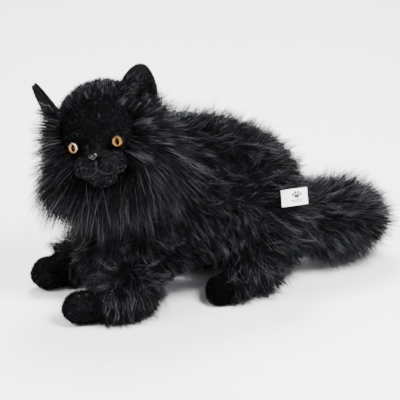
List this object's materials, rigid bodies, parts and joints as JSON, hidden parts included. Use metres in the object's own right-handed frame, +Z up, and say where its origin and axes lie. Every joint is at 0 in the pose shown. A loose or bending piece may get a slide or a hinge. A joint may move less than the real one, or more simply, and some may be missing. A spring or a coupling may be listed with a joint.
{
  "type": "plush cat",
  "caption": "Long-pile plush cat lying down with its head turned, stuffed, with safety eyes, a bushy tail and limbs that bend at their seams.",
  "frame": {"origin": "bottom centre of the toy's box, on the surface that it lies on", "axes": "+Z up, the toy faces -Y, its left side is +X"},
  "size_m": [0.171, 0.407, 0.2896],
  "materials": {
    "long_pile": "matte",
    "short_pile": "matte",
    "filling": "matte",
    "black_plastic": "gloss",
    "clear_plastic": "gloss",
    "amber": "gloss",
    "thread": "satin",
    "satin": "satin"
  },
  "bodies": {
    "body": {"body_cover": "long_pile", "belly_panel": "short_pile", "body_stuffing": "filling"},
    "neck": {"neck_filling": "filling"},
    "head": {"head_cover": "long_pile", "face_panel": "short_pile", "muzzle_cover": "short_pile", "chin_panel": "short_pile", "head_stuffing": "filling", "mouth_stitch": "thread", "nose": "black_plastic", "nose_washer": "black_plastic", "eye_left_dome": "clear_plastic", "eye_left_iris": "amber", "eye_left_pupil": "black_plastic", "eye_left_shank": "black_plastic", "eye_left_washer": "black_plastic", "eye_right_dome": "clear_plastic", "eye_right_iris": "amber", "eye_right_pupil": "black_plastic", "eye_right_shank": "black_plastic", "eye_right_washer": "black_plastic"},
    "ear_left": {"ear_left_outer": "long_pile", "ear_left_lining": "short_pile"},
    "ear_right": {"ear_right_outer": "long_pile", "ear_right_lining": "short_pile"},
    "foreleg_left": {"foreleg_left_cover": "long_pile", "foreleg_left_paw": "short_pile", "foreleg_left_stuffing": "filling"},
    "foreleg_right": {"foreleg_right_cover": "long_pile", "foreleg_right_paw": "short_pile", "foreleg_right_stuffing": "filling"},
    "hindleg_left": {"hindleg_left_cover": "long_pile", "hindleg_left_paw": "short_pile", "hindleg_left_stuffing": "filling"},
    "hindleg_right": {"hindleg_right_cover": "long_pile", "hindleg_right_paw": "short_pile", "hindleg_right_stuffing": "filling"},
    "tail_root": {"tail_root_filling": "filling"},
    "tail": {"tail_cover": "long_pile", "tail_stuffing": "filling"},
    "label": {"label": "satin"}
  },
  "joints": [
    {"name": "head_turn", "type": "hinge", "parent": "body", "child": "neck", "pos_m": [0.004, -0.106, 0.166], "axis": [0, 0, 1], "range_deg": [-8, 8], "stiffness_Nm_per_rad": 1.5},
    {"name": "head_nod", "type": "hinge", "parent": "neck", "child": "head", "pos_m": [0.004, -0.106, 0.166], "axis": [0.6157, 0.788, 0], "range_deg": [-5, 5], "stiffness_Nm_per_rad": 2},
    {"name": "ear_left_fold", "type": "hinge", "parent": "head", "child": "ear_left", "pos_m": [0.02552, -0.10336, 0.25015], "axis": [0.3192, 0.8563, -0.4061], "range_deg": [-20, 20], "stiffness_Nm_per_rad": 0.02},
    {"name": "ear_right_fold", "type": "hinge", "parent": "head", "child": "ear_right", "pos_m": [-0.02927, -0.18126, 0.22301], "axis": [0.8084, -0.0988, 0.5803], "range_deg": [-20, 20], "stiffness_Nm_per_rad": 0.02},
    {"name": "foreleg_left_lift", "type": "hinge", "parent": "body", "child": "foreleg_left", "pos_m": [0.052, -0.092, 0.066], "axis": [-1, 0, 0], "range_deg": [-5, 15], "stiffness_Nm_per_rad": 1},
    {"name": "hindleg_left_lift", "type": "hinge", "parent": "body", "child": "hindleg_left", "pos_m": [0.046, 0.034, 0.062], "axis": [-1, 0, 0], "range_deg": [-5, 10], "stiffness_Nm_per_rad": 1.5},
    {"name": "foreleg_right_lift", "type": "hinge", "parent": "body", "child": "foreleg_right", "pos_m": [-0.052, -0.092, 0.066], "axis": [-1, 0, 0], "range_deg": [-5, 15], "stiffness_Nm_per_rad": 1},
    {"name": "hindleg_right_lift", "type": "hinge", "parent": "body", "child": "hindleg_right", "pos_m": [-0.046, 0.034, 0.062], "axis": [-1, 0, 0], "range_deg": [-5, 10], "stiffness_Nm_per_rad": 1.5},
    {"name": "tail_swing", "type": "hinge", "parent": "body", "child": "tail_root", "pos_m": [0, 0.084, 0.07], "axis": [0, 0, 1], "range_deg": [-20, 20], "stiffness_Nm_per_rad": 1},
    {"name": "tail_lift", "type": "hinge", "parent": "tail_root", "child": "tail", "pos_m": [0, 0.084, 0.07], "axis": [1, 0, 0], "range_deg": [-4, 20], "stiffness_Nm_per_rad": 1.5},
    {"name": "label_flip", "type": "hinge", "parent": "body", "child": "label", "pos_m": [0.07, 0.049, 0.1215], "axis": [0, 0, 1], "range_deg": [-60, 15], "stiffness_Nm_per_rad": 0.002}
  ]
}
